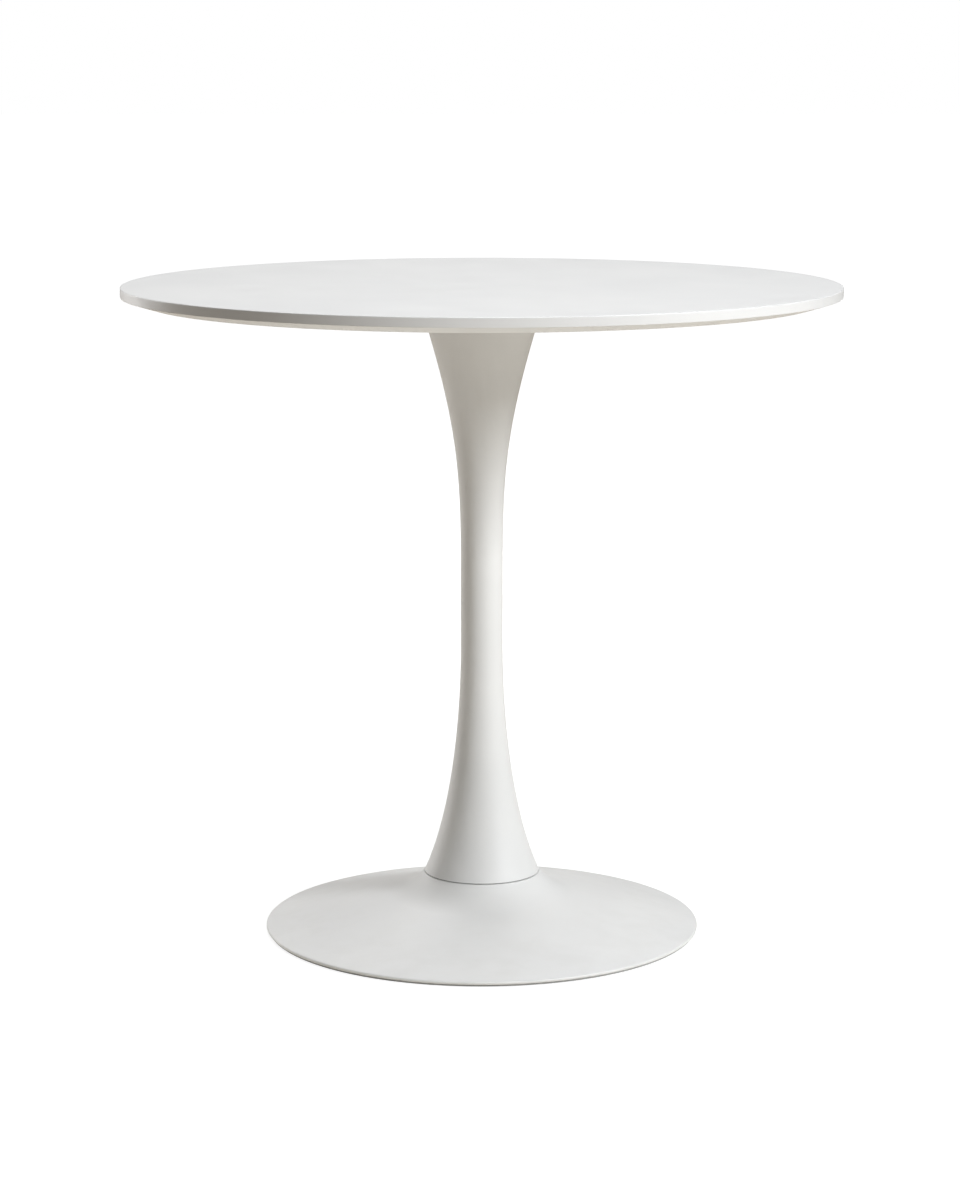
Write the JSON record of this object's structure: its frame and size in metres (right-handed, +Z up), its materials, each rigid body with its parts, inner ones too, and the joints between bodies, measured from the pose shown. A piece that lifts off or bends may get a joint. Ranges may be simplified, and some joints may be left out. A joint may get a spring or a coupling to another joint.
{
  "type": "round pedestal table",
  "caption": "White round dining table: a bevelled lacquered board on a flared steel column and a round dish base with levelling feet.",
  "frame": {"origin": "on the floor at the middle of the base, with the levelling feet screwed in", "axes": "+Z up along the column; +X and +Y level, with the feet on the diagonals between them"},
  "size_m": [0.8, 0.8, 0.736],
  "materials": {
    "board_lacquer": "white satin lacquer on fibreboard",
    "powder_coat": "white matte powder coat",
    "cast_iron": "as cast, painted dark grey",
    "zinced_steel": "bright zinc plated",
    "grey_rubber": "light grey rubber",
    "pad_plastic": "off-white nylon"
  },
  "bodies": {
    "table": {"tabletop": "board_lacquer", "mounting_plate": "powder_coat", "insert_1": "zinced_steel", "top_screw_1": "zinced_steel", "top_washer_1": "zinced_steel", "insert_2": "zinced_steel", "top_screw_2": "zinced_steel", "top_washer_2": "zinced_steel", "insert_3": "zinced_steel", "top_screw_3": "zinced_steel", "top_washer_3": "zinced_steel", "insert_4": "zinced_steel", "top_screw_4": "zinced_steel", "top_washer_4": "zinced_steel", "insert_5": "zinced_steel", "top_screw_5": "zinced_steel", "top_washer_5": "zinced_steel", "insert_6": "zinced_steel", "top_screw_6": "zinced_steel", "top_washer_6": "zinced_steel", "column_shell": "powder_coat", "foot_plate": "powder_coat", "seam_gasket": "grey_rubber", "base_cover": "powder_coat", "rim_trim": "grey_rubber", "ballast_casting": "cast_iron", "foot_bolt_1": "zinced_steel", "flat_washer_1": "zinced_steel", "spring_washer_1": "zinced_steel", "foot_bolt_2": "zinced_steel", "flat_washer_2": "zinced_steel", "spring_washer_2": "zinced_steel", "foot_bolt_3": "zinced_steel", "flat_washer_3": "zinced_steel", "spring_washer_3": "zinced_steel", "foot_bolt_4": "zinced_steel", "flat_washer_4": "zinced_steel", "spring_washer_4": "zinced_steel", "bush_1": "zinced_steel", "bush_2": "zinced_steel", "bush_3": "zinced_steel", "bush_4": "zinced_steel"},
    "pad_1": {"foot_pad_1": "pad_plastic"},
    "stud_1": {"foot_stud_1": "zinced_steel"},
    "pad_2": {"foot_pad_2": "pad_plastic"},
    "stud_2": {"foot_stud_2": "zinced_steel"},
    "pad_3": {"foot_pad_3": "pad_plastic"},
    "stud_3": {"foot_stud_3": "zinced_steel"},
    "pad_4": {"foot_pad_4": "pad_plastic"},
    "stud_4": {"foot_stud_4": "zinced_steel"}
  },
  "joints": [
    {"name": "foot_1_travel", "type": "slide", "parent": "table", "child": "pad_1", "axis": [0, 0, -1], "range_m": [0, 0.005]},
    {"name": "foot_1_turn", "type": "hinge", "parent": "pad_1", "child": "stud_1", "pos_m": [0.13282, 0.13282, 0.004], "axis": [0, 0, -1], "range_deg": [0, 1440]},
    {"name": "foot_2_travel", "type": "slide", "parent": "table", "child": "pad_2", "axis": [0, 0, -1], "range_m": [0, 0.005]},
    {"name": "foot_2_turn", "type": "hinge", "parent": "pad_2", "child": "stud_2", "pos_m": [-0.13282, 0.13282, 0.004], "axis": [0, 0, -1], "range_deg": [0, 1440]},
    {"name": "foot_3_travel", "type": "slide", "parent": "table", "child": "pad_3", "axis": [0, 0, -1], "range_m": [0, 0.005]},
    {"name": "foot_3_turn", "type": "hinge", "parent": "pad_3", "child": "stud_3", "pos_m": [-0.13282, -0.13282, 0.004], "axis": [0, 0, -1], "range_deg": [0, 1440]},
    {"name": "foot_4_travel", "type": "slide", "parent": "table", "child": "pad_4", "axis": [0, 0, -1], "range_m": [0, 0.005]},
    {"name": "foot_4_turn", "type": "hinge", "parent": "pad_4", "child": "stud_4", "pos_m": [0.13282, -0.13282, 0.004], "axis": [0, 0, -1], "range_deg": [0, 1440]}
  ],
  "couplings": [
    {"joint": "foot_1_turn", "follows": "foot_1_travel", "rad_per_m": 5026.5},
    {"joint": "foot_2_turn", "follows": "foot_2_travel", "rad_per_m": 5026.5},
    {"joint": "foot_3_turn", "follows": "foot_3_travel", "rad_per_m": 5026.5},
    {"joint": "foot_4_turn", "follows": "foot_4_travel", "rad_per_m": 5026.5}
  ]
}
